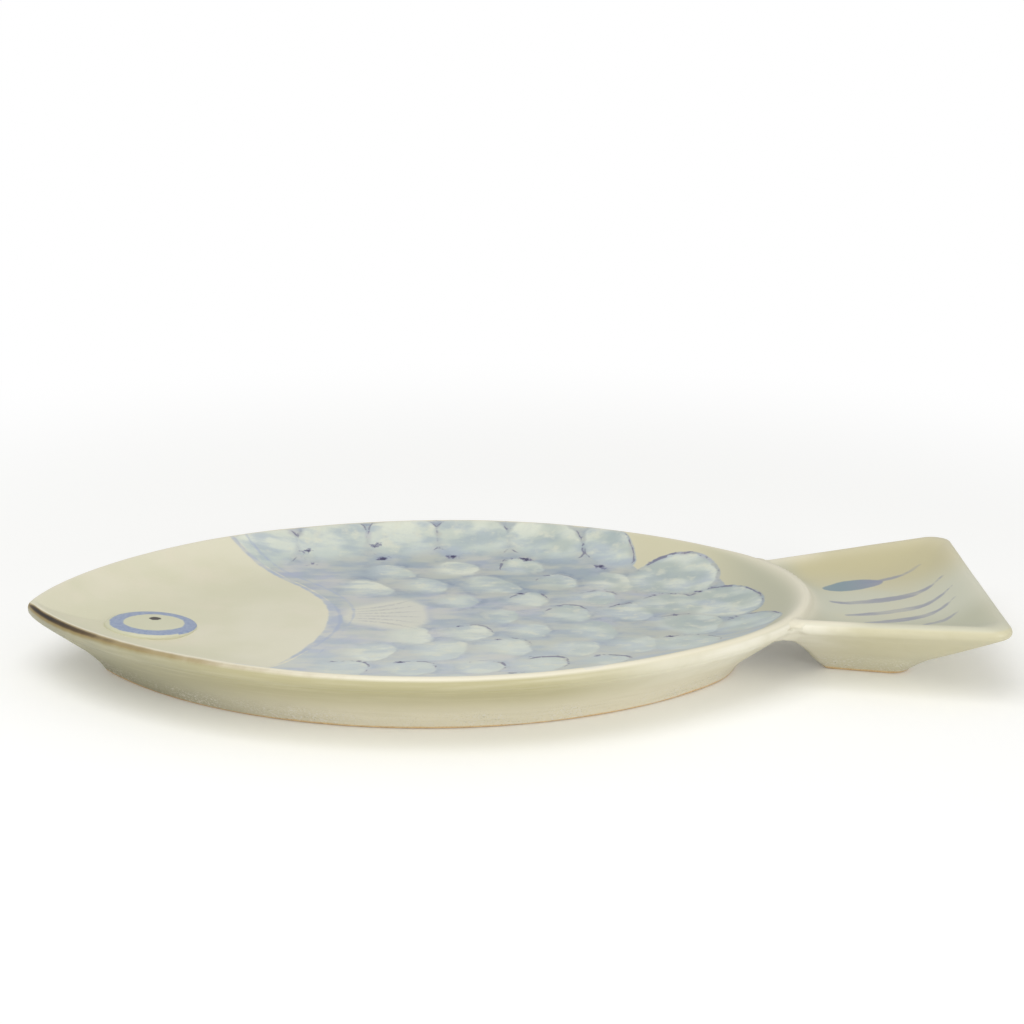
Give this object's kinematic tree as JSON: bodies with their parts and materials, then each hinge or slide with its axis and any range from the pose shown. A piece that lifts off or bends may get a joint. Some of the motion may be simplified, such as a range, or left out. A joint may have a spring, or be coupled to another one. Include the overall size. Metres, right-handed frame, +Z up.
{
  "type": "fish shaped platter",
  "caption": "Shallow fish shaped stoneware platter: pointed dish body and flared tail dish, each on its own foot ring, with a raised eye disc.",
  "frame": {"origin": "middle of the platter's footprint on the table, under the middle of its bounding box", "axes": "+X from the snout to the tail, +Z up, +Y to the far side of the platter as pictured"},
  "size_m": [0.45, 0.2518, 0.0369],
  "materials": {
    "body_glaze": "satin celadon cream glaze over stoneware, painted in watery cobalt",
    "tail_glaze": "satin celadon cream glaze over stoneware, five cobalt brush strokes",
    "foot_clay": "thin pitted glaze, bare toasted clay at the table edge",
    "eye_glaze": "cream glaze with a pale cobalt ring and a dark pupil"
  },
  "bodies": {
    "root": {"body_dish": "body_glaze", "body_foot_ring": "foot_clay", "tail_dish": "tail_glaze", "tail_foot_ring": "foot_clay", "eye_disc": "eye_glaze"}
  },
  "joints": []
}
